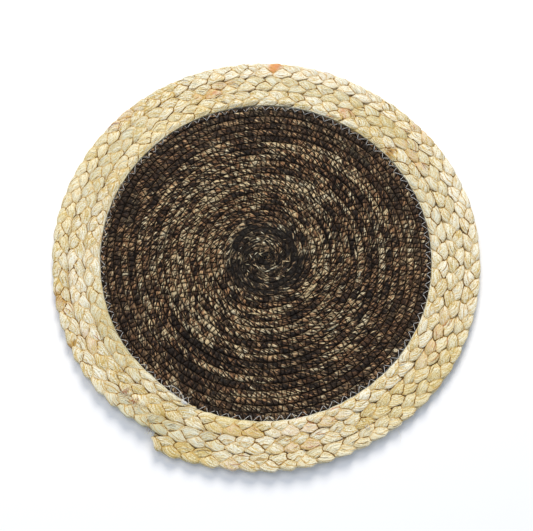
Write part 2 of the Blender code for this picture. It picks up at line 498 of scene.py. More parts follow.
def strandPoints(number):
    s = np.linspace(0.0, plaitLength, strand["columns"] + 1)
    line = strandLine(number, s)
    phase, lobe, closing = line["phase"], line["lobe"], line["closing"]
    finely = np.linspace(0.0, plaitLength, 24000)
    lean = np.interp(s, finely, np.gradient(strandLine(number, finely)["across"], finely))
    around = sectionAngles(strand["crownRows"], strand["underRows"])
    flat = squared(np.cos(around), strand["section"][0])
    tall = squared(np.sin(around), strand["section"][1])
    # husks wrap over one another round the strand, each rising gently and stepping down at its edge
    wander = s / strand["twist"] + 0.35 * heldNoise(s / (16 * mm), 1.0, 41 + number)
    wrapped = strand["husks"] * around[None, :] / (2 * math.pi) + wander[:, None]
    share = wrapped % 1.0
    husk = np.floor(wrapped).astype(int) % strand["husks"]
    edge = strand["huskEdge"]
    stepped = np.where(share < 1 - edge, share / (1 - edge), (1 - share) / edge) - 0.5
    creaseAngle = 6.5 * around[None, :] + 2.5 * heldNoise(s / (11 * mm), 1.0, 51 + number)[:, None]
    fold = strand["step"] * stepped + strand["creases"] * (np.abs(np.sin(creaseAngle)) - 0.6)
    fold = fold * closing[:, None] * (1 + 0.5 * heldNoise(lobe, 0.5, 71 + number))[:, None]
    sideways = flat[None, :] * line["width"][:, None] / 2
    upwards = tall[None, :] * line["deep"][:, None] / 2
    grow = 1 + fold / np.maximum(np.hypot(sideways, upwards), 0.05 * mm)
    sideways, upwards = sideways * grow, upwards * grow
    roll = np.radians(strand["roll"]) * np.cos(phase)[:, None]
    beside = sideways * np.cos(roll) - upwards * np.sin(roll)
    upwards = sideways * np.sin(roll) + upwards * np.cos(roll)
    stretch = np.hypot(1, lean)[:, None]
    along = np.clip(s[:, None] - beside * lean[:, None] / stretch, 0, plaitLength)
    across = line["across"][:, None] + beside / stretch
    # the sewn turns press one another, so past the border a strand turns down instead of bulging out
    shoulder = strand["shoulder"]
    turned = turnedAt(along)
    limit = np.where(across > 0, borderLimit(turned, along, 1), borderLimit(turned, along, -1))
    over = np.maximum(np.abs(across) - (limit - shoulder), 0)
    pressed = np.sign(across) * (np.abs(across) - over + shoulder * (1 - np.exp(-over / shoulder)))
    upwards = upwards * np.exp(-((over / (2.3 * shoulder)) ** 2))
    height = line["height"][:, None] + upwards
    # no painted shade in the gaps and along the edges, and no rust, on the mat's outer side and underneath
    free = np.where(across > 0, ~hasNeighbour(turned, 1), ~hasNeighbour(turned, -1))
    shadeAndRustFree = np.maximum(free * ease(over / (0.9 * mm)), np.sin(around)[None, :] < -0.01)
    # painted shade: dark spots low down in the plait, where the strands cross deepest
    pit = ease((0.40 - height / plait["thickness"]) / 0.10) * (1 - shadeAndRustFree)
    height = pressFlat(height)
    flush = mat["coreThickness"] + 0.2 * mm  # the plait is sewn down where it meets the disc
    sewn = ease((-across - strand["sewnFrom"]) / strand["sewnOver"]) * ~hasNeighbour(turned, -1)
    height = np.where(height > flush, flush + (height - flush) * (1 - 0.85 * sewn), height)
    inner, outer = plaitEdges(turned)
    radius = (inner + outer) / 2 + pressed * (outer - inner) / plait["width"]
    height = np.maximum(height * line["full"][:, None], 0.02 * mm)
    points = polar(mat["seamBearing"] + turned, radius, height)
    points[:, -1] = points[:, 0]
    huskTone = np.zeros_like(share)
    for k in range(strand["husks"]):
        values = heldNoise(lobe + 0.21 * k, 0.4, 81 + 7 * number + k)
        huskTone = np.where(husk == k, values[:, None], huskTone)
    lobeTone = heldNoise(lobe, 0.35, 75 + number)[:, None]
    ones = np.ones_like(share)
    # how strong the painted shade along each lobe's edges is, at random
    browned = ease(0.5 + 0.9 * heldNoise(lobe, 0.3, 61 + number))[:, None]
    marked = {kind: markWeight(kind, turnedAt(s), phase)[:, None] for kind in marks}
    bleached = 0.3 * marked["pale"] - 0.25 * marked["dull"]
    aged = np.interp(turnedAt(s), [320, 400, 680, 760, 1080], [0.0, 0.06, 0.06, 0.07, 0.07])
    layers = {
        "tone": 0.5 + 0.2 * huskTone + 0.13 * lobeTone + bleached - aged[:, None],
        "browned": browned * ones,
        "pit": pit * (0.15 + 0.8 * ease(2 * heldNoise(lobe, 0.2, 63 + number) - 0.4))[:, None],
        "wrapped": wrapped,
        "blush": np.minimum(marked["blush"], 1) * ones,
        "rust": marked["rust"] * (1 - shadeAndRustFree),
        **{kind: marked[kind] * ones for kind in ("ash", "sunny", "brown")},
    }
    aside = radius - (inner + outer) / 2
    placed = {"turned": turned, "aside": aside, "height": height, "shadeAndRustFree": shadeAndRustFree}
    return {"points": points, "layers": layers, **placed}


rifts = {"cell": 0.25 * mm, "reach": 9.5 * mm, "steps": 5}


def stepsTo(mask, steps):
    # how many cells each place lies from the nearest one in the mask
    nearest = np.where(mask, 0.0, steps)
    for i in range(-steps, steps + 1):
        for j in range(-steps, steps + 1):
            if 0 < math.hypot(i, j) < steps:
                away = np.where(np.roll(mask, (i, j), (0, 1)), math.hypot(i, j), steps)
                nearest = np.minimum(nearest, away)
    return nearest


def addRifts(surfaces):
    # maps which strand is seen where, then how far each place lies from where another covers it
    cell, reach = rifts["cell"], rifts["reach"]
    shape = (int(plaitLength / cell) + 2, int(2 * reach / cell) + 2)
    highest = np.full(shape[0] * shape[1], -1.0)
    seen = np.full(shape[0] * shape[1], -1)
    for label in range(9):
        number, shift = label % 3, (label // 3 - 1) * turn
        surface = surfaces[number]
        turned = surface["turned"] + shift
        radius = np.interp(surface["turned"], turnedTable, middleTable) + surface["aside"]
        aside = radius - np.interp(turned, turnedTable, middleTable)
        place = np.stack([lengthAt(turned), aside + reach, surface["height"]])
        place[1] = np.where((turned < 0) | (turned > plaitEnd), -1.0, place[1])
        place = place[:, :, : strand["crownRows"] + 1]
        own = np.full(len(seen), -1.0)
        for p in np.arange(5) / 5:
            for q in np.arange(7) / 7:
                columns = place[:, :-1] * (1 - p) + place[:, 1:] * p
                samples = columns[:, :, :-1] * (1 - q) + columns[:, :, 1:] * q
                i, j = (samples[0] / cell).astype(int), (samples[1] / cell).astype(int)
                kept = (samples[1] > 0) & (j < shape[1]) & (i >= 0) & (i < shape[0])
                np.maximum.at(own, (i * shape[1] + j)[kept], samples[2][kept])
        for side in (1, shape[1]):  # closes pinholes
            own = np.where(own < 0, np.minimum(np.roll(own, side), np.roll(own, -side)), own)
        seen = np.where(own > highest, label, seen)
        highest = np.maximum(own, highest)
    seen = seen.reshape(shape)
    for number, surface in enumerate(surfaces):
        mine = seen == number + 3
        others = (seen >= 0) & ~mine
        away = stepsTo(others, rifts["steps"]) - stepsTo(mine, rifts["steps"])
        away = (away + np.roll(away, 1, 0) + np.roll(away, 1, 1) + np.roll(away, (1, 1), (0, 1))) / 4
        i = np.clip((lengthAt(surface["turned"]) / cell).astype(int), 0, shape[0] - 1)
        j = np.clip(((surface["aside"] + reach) / cell).astype(int), 0, shape[1] - 1)
        surface["layers"]["rift"] = away[i, j] * cell / mm + 3 * surface["shadeAndRustFree"]


strandGirth = 1.6 * (strand["width"] + strand["thickness"])
huskMm = {"fibre": 0.85, "run": 7.0, "fold": 1.5, "foldRun": 13.0, "blotch": 6.0, "speck": 1.9, "mottle": 1.1}


def makeHuskMaterial():
    # Dried husk: a papery satin skin in long narrow folds, with fine fibres along it; its golden creases are
    # painted shade, as are the golden lines and dark spots where the strands meet
    material, add, shader = newMaterial("dried_husk_leaf")
    size = {name: 1 / (value * mm) for name, value in huskMm.items()}
    place = add("TexCoord", {}, {}, "Object")
    uv = add("UVMap", {"uv_map": "UVMap"}, {})
    fine = add("Mapping", {}, {"Vector": uv, "Scale": (size["run"], size["fibre"], 1.0)})
    broad = add("Mapping", {}, {"Vector": uv, "Scale": (size["foldRun"], size["fold"], 1.0)})
    fibre = add("TexNoise", flatNoise, {"Vector": fine, "Scale": 1.0, "Detail": 3.0, "Roughness": 0.6})
    blotch = add("TexNoise", {}, {"Vector": place, "Scale": size["blotch"], "Detail": 2.0})
    mottle = add("TexNoise", {}, {"Vector": place, "Scale": size["mottle"], "Detail": 1.0, "Roughness": 0.6})
    cells = {"Vector": broad, "Scale": 1.0}
    folds = add("TexVoronoi", flatEdges, cells, "Distance")
    cell = add("SeparateColor", {}, {"Color": add("TexVoronoi", flatCells, cells, "Color")}).node.outputs
    specks = add("TexVoronoi", {}, {"Vector": place, "Scale": size["speck"]}, "Color")
    speckPick = add("SeparateColor", {}, {"Color": specks})
    kinds = ("tone", "rift", "wrapped", "blush", "ash", "sunny", "rust", "brown", "browned", "pit")
    layer = {name: add("Attribute", {"attribute_name": name}, {}, "Fac") for name in kinds}
    # each strand is wrapped in husks: how far across a husk, and which one
    wrapped = add("Math", timesPlus, (blotch, 0.5, layer["wrapped"]))
    husk = add("Math", {"operation": "FLOOR"}, (wrapped,))
    huskPick = add("TexWhiteNoise", {"noise_dimensions": "1D"}, {"W": husk})
    wandering = add("Math", timesPlus, (blotch, 0.9, -0.45))
    spans = {  # a value, and which range of it becomes which
        "crinkle": (mottle, 0.34, 0.66, -0.28, 0.28),
        "crisp": (fibre, 0.36, 0.64, 0.0, 1.0),
        "streak": (fibre, 0.42, 0.6, 0.0, 1.0),
        "pepper": (mottle, 0.31, 0.40, 0.48, 0.0),
        # painted shade: golden lines in the creases between some of the long folds
        "foldLine": (folds, 0.03, 0.18, 0.5, 0.0),
        "someFolds": (cell["Green"], 0.35, 0.9, 0.2, 1.0),
        "speckSize": (speckPick, 0.72, 1.0, 0.0, 0.30),
        "crease": (add("Math", {"operation": "PINGPONG"}, (wrapped, 0.5)), 0.02, 0.09, 1.0, 0.0),
        "veins": (fibre, 0.33, 0.43, 0.38, 0.0),
        # painted shade: a soft golden band along where another strand covers this one
        "outlineShade": (layer["rift"], 0.2, 1.3, 0.44, 0.0),
        # painted shade: a thin line along where another strand covers this one, wandering a little
        "edge": (add("Math", plus, (layer["rift"], wandering)), 0.10, 1.00, 1.0, 0.0),
        "broken": (blotch, 0.42, 0.58, 0.25, 1.3),
    }
    span = {name: add("MapRange", {}, dict(zip(spanEnds, row))) for name, row in spans.items()}
    lightness = layer["tone"]
    for part, share in ((span["crisp"], 0.68), (cell["Red"], 0.24), (blotch, 0.3), (span["crinkle"], 1.0)):
        lightness = add("Math", timesPlus, (part, share, lightness))
    lightness = add("Math", timesPlus, (lightness, 1.08, -0.51))
    stops = [(0.0, "#c2aa6e"), (0.2, "#d6c597"), (0.48, "#e6dcb9"), (0.75, "#efe8cf"), (1.0, "#f5f1df")]
    colour = add("ValToRGB", {"stops": stops}, {"Fac": lightness})
    weathered = add("Math", plus, (span["streak"], 0.45))
    tints = [
        (add("Math", times, (layer["ash"], 0.4)), "#ccc8a6"),
        (add("Math", times, (layer["sunny"], 0.35)), "#efdca0"),
        (add("Math", times, (span["streak"], layer["blush"])), "#cf9470"),
        (layer["rust"], "#e79a6a"),
        (add("Math", {**times, **clamped}, (layer["brown"], weathered)), "#a87b48"),
        (span["pepper"], "#927a46"),
    ]
    for share, tint in tints:
        colour = add("Mix", colours, {"Factor": share, "A": colour, "B": linear(tint)}, "Result")
    # painted shade: golden in the creases where one husk steps down over the next
    golden = add("Math", times, (span["crease"], add("Math", timesPlus, (huskPick, 0.6, 0.2))))
    specks = add("Math", {"operation": "LESS_THAN"}, (specks.node.outputs["Distance"], span["speckSize"]))
    # painted shade along the edges where one strand passes under another, stronger at some than at others
    edge = add("Math", timesPlus, (layer["browned"], 0.50, 0.63))
    for share in (span["broken"], span["edge"], add("Math", timesPlus, (span["crisp"], -0.3, 1.1))):
        edge = add("Math", times, (edge, share))
    # what turns golden: the veins and specks are the husk's own colour; the fold lines, outlines, edges and
    # pits are painted shade
    goldenGrainAndShade = [
        span["veins"],
        add("Math", times, (span["foldLine"], span["someFolds"])),
        add("Math", times, (specks, 0.6)),
        span["outlineShade"],
        edge,
        layer["pit"],
    ]
    for mark in goldenGrainAndShade:
        golden = add("Math", larger, (golden, mark))
    stops = [(0.0, "#e6ca62"), (0.4, "#d2a02a"), (0.75, "#ae7c12"), (1.0, "#503008")]
    gold = add("ValToRGB", {"stops": stops}, {"Fac": golden})
    share = add("Math", {**times, **clamped}, (golden, 1.2))
    colour = add("Mix", colours, {"Factor": share, "A": colour, "B": gold}, "Result")
    pillow = add("MapRange", smooth, {"Value": folds, "From Min": 0.0, "From Max": 0.4})
    normal = add("Bump", {}, {"Height": pillow, "Strength": 1.0, "Distance": 0.24 * mm})
    for height, depth in ((fibre, 0.35 * mm), (mottle, 0.45 * mm)):
        normal = add("Bump", {}, {"Height": height, "Strength": 0.8, "Distance": depth, "Normal": normal})
    setInputs(shader, {"Base Color": colour, "Normal": normal, "Roughness": 0.62})
    setInputs(shader, {"Specular IOR Level": 0.2, "Sheen Weight": 0.08})
    return material


huskMaterial = makeHuskMaterial()
strandSurfaces = [strandPoints(number) for number in range(strand["count"])]
addRifts(strandSurfaces)
for number, surface in enumerate(strandSurfaces, 1):
    points, layers = surface["points"], surface["layers"]
    mesh = wrapGrid(f"rim_strand_{number}", points, plaitLength, strandGirth, layers, strand["slant"])
    addPiece(mesh, huskMaterial, "dried_husk", "rim_plait")
print("rim plaited:", round(plaitLength, 2), "m of plait")

# The coil: one dyed cord wound as a flat spiral
coil = {
    "innerPitch": 5.5 * mm,  # from turn to turn at the middle
    "outerPitch": 6.5 * mm,  # and at the edge
    "startBearing": 246.0,
    "step": 0.8 * mm,  # along the cord
    "pieces": 2,
    "crownRows": 9,
    "underRows": 2,
    "legPitch": 4.4 * mm,  # along the cord, from one leg of the zigzag to the next
    "pinch": 0.80 * mm,  # how deep the stitches pull in
    "pinchWidth": 0.95 * mm,
    "wobble": 0.6 * mm,
    "shiver": 0.45 * mm,  # shorter unevenness of the line between two turns
    "shiverRun": 17 * mm,
    "slant": 0.5,  # of the twisted leaves across the cord
    "outerTaper": 9 * mm,  # over how long each end of the cord thins out
    "innerTaper": 5 * mm,
    "section": (0.85, 0.72),  # under 1 the section is fuller than an ellipse, across and upwards
    "drift": ((0.50, 1, 0.0, 0.45), (0.30, 2, 1.0, -0.6), (0.20, 3, 2.2, 0.8)),  # waves of the wobble
}
coilTurns = 2 * mat["coreRadius"] / (coil["innerPitch"] + coil["outerPitch"])


def grooveRadius(count, bearing):
    # the line between two turns of the cord, so many turns out from the middle
    count = np.maximum(count, 0.0)
    spread = (coil["outerPitch"] - coil["innerPitch"]) / (2 * coilTurns)
    radius = coil["innerPitch"] * count + spread * count**2
    outward = np.clip(radius / mat["coreRadius"], 0, 1)
    angle = np.radians(bearing)
    drift = sum(size * np.sin(wave * angle + at + lean * count) for size, wave, at, lean in coil["drift"])
    around = math.pi * coil["innerPitch"] * count**2 * 1.08
    shiver = coil["shiver"] * heldNoise(around / coil["shiverRun"], 1.0, 97)
    inside = np.sqrt(outward) * (1 - outward**6)
    radius = radius + (coil["wobble"] * drift + shiver) * inside
    edge = coreEdge(bearing)
    radius = radius + (edge - mat["coreRadius"]) * outward**5
    return np.minimum(radius, edge - 0.1 * mm)


def woundPlace(wound):
    # the bearing and both sides of the cord, so many turns from its outer end
    bearing = coil["startBearing"] + turn * wound
    outside = coilTurns + 1 - wound
    return bearing, grooveRadius(outside - 1, bearing), grooveRadius(outside, bearing)


coilWound = np.linspace(0.22, coilTurns + 0.62, 9000)
_, coilInner, coilOuter = woundPlace(coilWound)
coilMiddle = (coilInner + coilOuter) / 2
coilSteps = np.radians(turn * np.diff(coilWound)) * (coilMiddle[1:] + coilMiddle[:-1]) / 2
coilLengths = summed(np.hypot(coilSteps, np.diff(coilMiddle)))
coilLength = coilLengths[-1]


def coilPlace(s):
    return woundPlace(np.interp(s, coilLengths, coilWound))


stitchRng = np.random.default_rng(151)
legTotal = int(coilLength / coil["legPitch"] * 1.05) + 40
legLean = stitchRng.uniform(-0.05, 0.85, legTotal)  # share of a leg's pitch that it leans over
legShift = stitchRng.uniform(-0.2, 0.2, legTotal)
legDepth = stitchRng.uniform(0.5, 1.0, legTotal)
cellPick = stitchRng.uniform(0, 1, (legTotal, 3))


def legCount(s):
    return 10 + s / coil["legPitch"] + 0.5 * heldNoise(s / (37 * mm), 1.0, 101)


def legCrossing(leg, share):
    # where a leg of the zigzag lies, at a share of the way from the cord's inner side to its outer
    progress = np.where(leg % 2 == 0, share, 1 - share)
    return leg + 0.5 + legShift[leg] + legLean[leg] * (progress - 0.5)


def nearLeg(count, across):
    # distance to the nearest leg, in legs, how strongly it pulls, and which gap a place lies in
    whole = np.floor(count).astype(int)
    share = (np.clip(across, -1, 1) + 1) / 2
    nearest, depth, passed = 9.0 + 0 * count, 0 * count, whole - 1
    for step in (-1, 0, 1):
        leg = whole + step
        away = np.abs(count - legCrossing(leg, share))
        depth = np.where(away < nearest, legDepth[leg], depth)
        nearest = np.minimum(nearest, away)
        passed = np.where(count > legCrossing(leg, share), leg, passed)
    return nearest, depth, passed


# How light the dyed cord is on average, by its radius in millimetres
coilTones = {
    0: 0.04, 18: 0.09, 28: 0.15, 36: 0.24, 43: 0.38, 56: 0.38, 78: 0.38, 94: 0.33, 106: 0.31, 118: 0.26,
    130: 0.22, 147: 0.22,
}
# Stretches where the leaf took less dye, or more: radius in millimetres, two bearings, light and warmth
patches = [
    (15, 60, 100, 0.12, 0.2), (31, 20, 115, 0.10, 0.5), (33, 195, 290, -0.10, 0.3),
    (32, 322, 362, -0.08, 0.3), (51, 311, 328, 0.75, 1.1), (53, 260, 280, 0.38, 0.9),
    (50, 340, 396, 0.26, 0.5), (48, 155, 172, 0.30, 0.6), (74, 222, 234, 0.50, 0.6),
    (92, 229, 240, 0.40, 0.5), (88, 252, 263, 0.40, 0.4), (84, 268, 278, 0.30, 0.3),
    (71, 165, 188, 0.48, 0.6), (77, 172, 206, 0.28, 0.7), (85, 142, 159, 0.46, 0.8),
    (92, 156, 170, 0.34, 0.2), (109, 74, 90, 0.42, 0.5), (112, 40, 72, 0.40, 0.6),
    (113, 16, 38, 0.24, 0.5), (109, 140, 182, 0.22, 0.7), (113, 108, 124, 0.20, 0.6),
    (74, 128, 150, 0.28, 0.6), (68, 142, 176, 0.26, 0.7), (59, 104, 210, 0.12, 0.7),
    (58, 292, 398, -0.14, 0.3), (76, 56, 76, 0.30, 0.2), (82, 40, 48, 0.30, 0.1),
    (84, 312, 322, 0.30, 0.2), (110, 302, 318, 0.28, 0.9), (127, 258, 284, 0.38, 0.9),
    (108, 236, 292, 0.04, 0.6), (113, 198, 222, 0.20, 0.6), (78, 198, 218, 0.16, 0.7),
    (129, 346, 372, 0.20, 0.6), (128, 154, 166, 0.20, 0.2), (129, 10, 62, 0.10, 0.1),
    (120, 116, 150, -0.12, 0.3), (102, 222, 262, -0.14, 0.3), (118, 222, 258, -0.16, 0.3),
    (88, 82, 98, 0.18, 0.3), (87, 180, 206, 0.22, 0.7), (96, 236, 300, -0.16, 0.3),
    (104, 60, 78, 0.20, 0.4), (104, 0, 18, 0.18, 0.3), (137, 56, 130, -0.05, 0.3),
    (66, 150, 205, 0.12, 0.6), (81, 150, 205, 0.14, 0.5),
]


def coilLight(bearing, radius):
    light = np.interp(radius, [mark * mm for mark in coilTones], [*coilTones.values()])
    warm = np.interp(radius, [30 * mm, 44 * mm, 118 * mm, 140 * mm], [0.30, 0.85, 0.75, 0.60])
    for middle, first, last, lighter, warmer in patches:
        away = np.abs(angleFrom((first + last) / 2, bearing))
        weight = ease(((last - first) / 2 - away) / 5 + 0.5)
        weight = weight * np.exp(-(((radius - middle * mm) / (3.6 * mm)) ** 2))
        light = light + 1.3 * weight * lighter
        warm = warm + weight * (warmer - 0.45)
    return light, warm


def coilPoints(first, last):
    # the cord between two lengths from its outer end
    columns = int((last - first) / coil["step"])
    s = np.linspace(first, last, columns + 1)
    bearing, inner, outer = coilPlace(s)
    around = sectionAngles(coil["crownRows"], coil["underRows"])
    grid = np.ones((columns + 1, len(around)))
    across = squared(np.cos(around), coil["section"][0]) * grid
    tall = squared(np.sin(around), coil["section"][1]) * grid
    toEnds = ease(s / coil["outerTaper"]) ** 0.5 * ease((coilLength - s) / coil["innerTaper"]) ** 0.5
    toEnds = toEnds[:, None] * grid
    count = legCount(s)[:, None] * grid
    nearest, depth, cell = nearLeg(count, across)
    away = nearest * coil["legPitch"] * 0.85
    pulled = depth * np.exp(-((away / coil["pinchWidth"]) ** 2))
    half = mat["coreThickness"] / 2
    pick = cellPick[cell]
    plump = 0.93 + 0.05 * heldNoise(s / (23 * mm), 1.0, 111)[:, None] + 0.10 * (pick[..., 0] - 0.5)
    thick = (half * plump * toEnds - coil["pinch"] * pulled * toEnds) * tall
    thick = np.where(tall < 0, half * plump * toEnds * tall, thick)
    matted = ease((44 * mm - (inner + outer) / 2) / (14 * mm))[:, None] * toEnds
    thick = np.where(tall > 0, thick + 0.6 * matted * (half * plump - thick), thick)
    reach = across * ((outer - inner) * 1.02)[:, None] / 2 * toEnds
    radius = ((inner + outer) / 2)[:, None] + reach
    height = np.maximum(half + thick, 0.02 * mm)
    points = polar(bearing[:, None] * grid, radius, height)
    points[:, -1] = points[:, 0]
    light, warm = coilLight(bearing[:, None] * grid, radius)
    run = heldNoise(s / (16 * mm), 0.35, 121)[:, None]
    arc = heldNoise(s / (55 * mm), 0.6, 123)[:, None]
    spotted = ease((40 * mm - radius) / (8 * mm))
    light = light * (0.72 + 0.60 * pick[..., 1] ** 1.6 + spotted * (2.2 * pick[..., 1] ** 5 - 0.35))
    light = light * (1 + 0.34 * run + 0.42 * arc)
    # the dye is more even near the edge, most of all at the upper right
    even = 0.45 + 0.4 * ease((60 - np.abs(angleFrom(20, bearing))) / 20 + 0.5)
    even = even[:, None] * ease((radius - 114 * mm) / (10 * mm))
    light = light * (1 - 0.4 * even)
    sunk = ease((np.abs(across) - 0.66) / 0.3)
    tangled = ease((27 * mm - radius) / (9 * mm))  # short leaf ends stick out round the middle
    layers = {
        "light": np.clip(light, 0, 1),
        "warm": np.clip(warm + 0.7 * (pick[..., 2] - 0.5), 0, 1),
        # painted shade where the stitches pull the cord in and down the cord's sides between turns, less in
        # the middle
        "soot": np.maximum(np.exp(-((away / (0.75 * mm)) ** 2)), sunk) * (1 - 0.45 * matted),
        "tangle": tangled,
        "wash": np.interp(radius, [86 * mm, 120 * mm, 138 * mm], [0.0, 0.04, 0.065]) + 0.12 * even,
    }
    return points, layers


coilMm = {"strip": 0.95, "run": 4.4, "fibre": 0.6, "fibreRun": 6, "blot": 2.2}


def makeCordMaterial():
    # Seagrass leaf twisted and dyed dark brown: the dye took unevenly, so bare leaf shows tan and straw,
    # and strips of leaf cross the cord at a slant with dark lines between them
    # shade is painted in too, where the stitches pull the cord in and between the turns
    material, add, shader = newMaterial("dyed_seagrass_cord")
    size = {name: 1 / (value * mm) for name, value in coilMm.items()}
    uv = add("UVMap", {"uv_map": "UVMap"}, {})
    strips = add("Mapping", {}, {"Vector": uv, "Scale": (size["run"], size["strip"], 1.0)})
    strips = {"Vector": strips, "Scale": 1.0}
    edges = add("TexVoronoi", flatEdges, strips, "Distance")
    strip = add("SeparateColor", {}, {"Color": add("TexVoronoi", flatCells, strips, "Color")}).node.outputs
    fine = add("Mapping", {}, {"Vector": uv, "Scale": (size["fibreRun"], size["fibre"], 1.0)})
    fibre = add("TexNoise", flatNoise, {"Vector": fine, "Scale": 1.0, "Detail": 2.0})
    place = add("TexCoord", {}, {}, "Object")
    blots = add("TexNoise", {}, {"Vector": place, "Scale": size["blot"], "Detail": 3.0, "Roughness": 0.6})
    kinds = ("light", "warm", "soot", "wash", "tangle")
    layer = {name: add("Attribute", {"attribute_name": name}, {}, "Fac") for name in kinds}
    spans = {
        # bright flecks on a few strips: bare straw leaf, partly a painted highlight standing in for the
        # leaf's glints
        "fleck": (strip["Green"], 0.90, 0.97, 0.0, 0.32),
        "ends": (strip["Blue"], 0.68, 0.95, 0.0, 0.50),
        "line": (edges, 0.04, 0.24, 0.9, 0.0),
    }
    span = {name: add("MapRange", {}, dict(zip(spanEnds, row))) for name, row in spans.items()}
    level = add("Math", {"operation": "POWER"}, (strip["Red"], 2.4))
    level = add("Math", timesPlus, (level, 3.6, 0.26))
    level = add("Math", times, (level, layer["light"]))
    lighter = [(blots, 0.36), (fibre, 0.40), (span["fleck"], 1.0), (layer["wash"], 1.0)]
    for part, share in [*lighter, (span["ends"], layer["tangle"])]:
        level = add("Math", timesPlus, (part, share, level))
    level = add("Math", {"operation": "SUBTRACT", **clamped}, (level, 0.36))
    places = (0.0, 0.2, 0.4, 0.56, 0.74, 0.9, 1.0)
    browns = ("#110b07", "#33231a", "#6e4e36", "#a87a54", "#ce9e70", "#e2b885", "#f4d8a6")
    greys = ("#0f0b08", "#2c251d", "#5f523e", "#8f7d5f", "#bba985", "#d6c7a2", "#ece2c4")
    brown = add("ValToRGB", {"stops": [*zip(places, browns)]}, {"Fac": level})
    grey = add("ValToRGB", {"stops": [*zip(places, greys)]}, {"Fac": level})
    leaf = add("Mix", colours, {"Factor": layer["warm"], "A": grey, "B": brown}, "Result")
    # the painted shade and the dark lines between the leaf strips darken the leaf
    dark = add("Math", larger, (layer["soot"], span["line"]))
    dark = add("Math", times, (dark, 0.9))
    shadedAndLined = add("Mix", colours, {"Factor": dark, "A": leaf, "B": linear("#100b07")}, "Result")
    pillow = add("MapRange", smooth, {"Value": edges, "From Min": 0.0, "From Max": 0.35})
    normal = add("Bump", {}, {"Height": pillow, "Strength": 0.9, "Distance": 0.35 * mm})
    normal = add("Bump", {}, {"Height": fibre, "Strength": 0.5, "Distance": 0.2 * mm, "Normal": normal})
    setInputs(shader, {"Base Color": shadedAndLined, "Normal": normal, "Roughness": 0.45})
    setInputs(shader, {"Specular IOR Level": 0.16})
    return material


cordMaterial = makeCordMaterial()
cuts = np.linspace(0.0, coilLength, coil["pieces"] + 1)
for number in range(coil["pieces"]):
    first, last = cuts[number], cuts[number + 1]
    points, layers = coilPoints(first, last)
    mesh = wrapGrid(f"coil_cord_{number + 1}", points, last - first, 11 * mm, layers, coil["slant"])
    addPiece(mesh, cordMaterial, "dyed_seagrass", "core_coil")
print("coil wound:", round(coilLength, 2), "m of cord")


# Threads and leaf ends
def makeThreadMaterial(name, colour, roughness, twist, gloss=0.1):
    # Two-ply sewing thread: the plies show as slanting lines
    material, add, shader = newMaterial(name)
    scale = (1 / twist, 1 / (2 * twist), 1.0)
    uv = add("UVMap", {"uv_map": "UVMap"}, {})
    slanted = add("Mapping", {}, {"Vector": uv, "Scale": scale, "Rotation": (0, 0, 0.7)})
    plies = add("TexWave", {}, {"Vector": slanted, "Scale": 0.5}, "Fac")
    dark, pale = linear(colour[0]), linear(colour[1])
    tint = add("Mix", colours, {"Factor": plies, "A": dark, "B": pale}, "Result")
    normal = add("Bump", {}, {"Height": plies, "Strength": 0.5, "Distance": 0.1 * mm})
    setInputs(shader, {"Base Color": tint, "Normal": normal, "Roughness": roughness})
    setInputs(shader, {"Specular IOR Level": gloss})
    return material


def sectionPoints(path, wide, high, rows):
    # rings of points round a path
    _, side, top = frames(path)
    around = 2 * math.pi * np.arange(rows + 1) / rows
    across = side[:, None, :] * (wide[:, None] * np.cos(around))[..., None]
    return path[:, None, :] + across + top[:, None, :] * (high[:, None] * np.sin(around))[..., None]


def threadMesh(name, path, thickness, rows=6):
    # a thread of round section along a path, thinned to a point at both ends
    lengths = summed(np.linalg.norm(np.diff(path, axis=0), axis=1))
    toEnds = np.minimum(lengths, lengths[-1] - lengths) / (0.6 * thickness)
    size = thickness / 2 * np.clip(toEnds, 0, 1) ** 0.5
    return wrapGrid(name, sectionPoints(path, size, size, rows), lengths[-1], math.pi * thickness, {})


def joinMeshes(name, parts):
    bm = bmesh.new()
    for part in parts:
        bm.from_mesh(part)
        bpy.data.meshes.remove(part)
    return newMesh(name, bm)


def joinedThreads(name, paths, thickness, rows=3):
    return joinMeshes(name, (threadMesh(name, path, thickness, rows) for path in paths))


leafSize = {"thickness": 0.32 * mm, "samples": 6, "rows": 4, "height": 6.25 * mm, "tucked": 0.75 * mm}
# Undyed leaf ends over the cord: x and y, direction in degrees, length, width, light and warmth
bareLeaves = [
    (18.3, -4.5, 176, 9, 1.5, 0.60, 0.8), (7.6, -10.4, 24, 11, 1.5, 0.62, 0.1),
    (1.5, -13.5, 12, 7, 1.2, 0.55, 0.1), (41.7, -29.0, 42, 11, 3.2, 1.5, 1.0),
    (36.5, -34.0, 36, 8, 1.8, 1.3, 1.0), (58.4, -65.2, 26, 13, 2.6, 0.62, 0.1),
    (82.9, -16.2, 60, 8, 2.2, 0.75, 0.2), (49.5, 16.5, 100, 11, 2.4, 0.72, 0.9),
    (80.4, 1.9, 94, 11, 2.2, 0.80, 0.7), (-78.7, 39.9, 52, 10, 2.4, 1.4, 0.9),
    (-77.5, -2.2, 92, 11, 2.4, 0.80, 0.7), (78.4, 73.7, 132, 11, 2.6, 0.82, 0.8),
    (-9.0, -52.5, 168, 12, 2.0, 0.88, 1.0),
]
tangle = {"count": 170, "reach": 24 * mm, "length": (3 * mm, 8 * mm), "width": (0.5 * mm, 1.1 * mm)}


def leafMesh(path, width, light, warm):
    # a thin pointed leaf along a path
    share = np.linspace(0, 1, len(path))
    reach = width / 2 * np.sin(math.pi * (0.06 + 0.88 * share)) ** 0.6
    high = leafSize["thickness"] / 2 + 0 * share
    points = sectionPoints(path, reach, high, leafSize["rows"])
    ones = np.ones(points.shape[:2])
    layers = {"light": light * ones, "warm": warm * ones}
    return wrapGrid("leaf_ends", points, np.linalg.norm(path[-1] - path[0]), 2 * width, layers)


